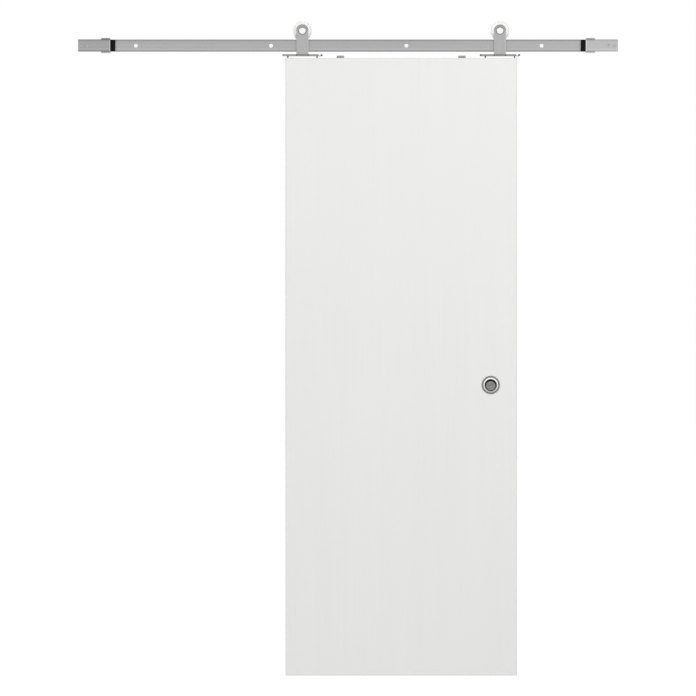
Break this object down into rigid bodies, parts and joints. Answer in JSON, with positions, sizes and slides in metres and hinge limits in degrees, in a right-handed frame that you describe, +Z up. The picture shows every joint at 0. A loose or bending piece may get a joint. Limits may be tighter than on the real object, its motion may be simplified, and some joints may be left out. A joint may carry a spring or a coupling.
{
  "type": "sliding barn door set",
  "caption": "Flush white door leaf hung by grooved rollers and straps on a flat wall rail, with end stops and a round flush pull.",
  "frame": {"origin": "middle of the rail's length, level with the leaf's bottom edge, halfway through the whole depth", "axes": "+X along the rail to the right as seen from the room, +Y towards the wall, +Z up"},
  "size_m": [1.776, 0.1056, 2.156],
  "materials": {
    "rail_steel": "horizontal brushed",
    "spacer_steel": "turned",
    "polished_steel": "polished",
    "stop_steel": "brushed",
    "screw_steel": "turned",
    "buffer_rubber": "moulded",
    "hanger_steel": "vertical brushed",
    "zinc_steel": "zinc plated",
    "insert_brass": "turned",
    "bearing_steel": "ground",
    "cage_nylon": "moulded",
    "wheel_nylon": "moulded, satin",
    "disc_steel": "fluted edge",
    "leaf_paint": "white satin paint on board",
    "leaf_softwood": "planed softwood",
    "leaf_core_board": "tubular chipboard",
    "pull_steel": "turned and brushed"
  },
  "bodies": {
    "track": {"rail_bar": "rail_steel", "rail_spacers": "spacer_steel", "wall_bolts": "polished_steel", "left_stop_body": "stop_steel", "left_stop_screws": "screw_steel", "left_stop_buffer": "buffer_rubber", "right_stop_body": "stop_steel", "right_stop_screws": "screw_steel", "right_stop_buffer": "buffer_rubber"},
    "door": {"leaf_front_skin": "leaf_paint", "leaf_rear_skin": "leaf_paint", "leaf_left_edge_band": "leaf_paint", "leaf_right_edge_band": "leaf_paint", "leaf_top_rail": "leaf_softwood", "leaf_bottom_rail": "leaf_softwood", "leaf_left_stile": "leaf_softwood", "leaf_right_stile": "leaf_softwood", "leaf_core": "leaf_core_board", "front_pull_cup": "pull_steel", "rear_pull_cup": "pull_steel", "left_anti_lift_disc": "disc_steel", "right_anti_lift_disc": "disc_steel", "anti_lift_screws": "screw_steel", "left_hanger_strap": "hanger_steel", "left_foot_plate": "hanger_steel", "left_foot_screws": "screw_steel", "left_threaded_inserts": "insert_brass", "left_axle_bolt": "polished_steel", "left_axle_sleeves": "zinc_steel", "left_axle_washer": "zinc_steel", "left_axle_nut": "zinc_steel", "left_bearing_inner_race": "bearing_steel", "right_hanger_strap": "hanger_steel", "right_foot_plate": "hanger_steel", "right_foot_screws": "screw_steel", "right_threaded_inserts": "insert_brass", "right_axle_bolt": "polished_steel", "right_axle_sleeves": "zinc_steel", "right_axle_washer": "zinc_steel", "right_axle_nut": "zinc_steel", "right_bearing_inner_race": "bearing_steel"},
    "left_wheel": {"left_wheel": "wheel_nylon", "left_bearing_outer_race": "bearing_steel", "left_bearing_balls": "bearing_steel", "left_bearing_cage": "cage_nylon", "left_bearing_shields": "bearing_steel", "left_retaining_ring": "bearing_steel"},
    "right_wheel": {"right_wheel": "wheel_nylon", "right_bearing_outer_race": "bearing_steel", "right_bearing_balls": "bearing_steel", "right_bearing_cage": "cage_nylon", "right_bearing_shields": "bearing_steel", "right_retaining_ring": "bearing_steel"}
  },
  "joints": [
    {"name": "door_slide", "type": "slide", "parent": "track", "child": "door", "axis": [1, 0, 0], "range_m": [-0.5955, 0.2455]},
    {"name": "left_wheel_roll", "type": "hinge", "parent": "door", "child": "left_wheel", "pos_m": [-0.15, -0.0272, 2.12205], "axis": [0, 1, 0], "continuous": true},
    {"name": "right_wheel_roll", "type": "hinge", "parent": "door", "child": "right_wheel", "pos_m": [0.5, -0.0272, 2.12205], "axis": [0, 1, 0], "continuous": true}
  ],
  "couplings": [
    {"joint": "left_wheel_roll", "follows": "door_slide", "rad_per_m": 34.483},
    {"joint": "right_wheel_roll", "follows": "door_slide", "rad_per_m": 34.483}
  ]
}
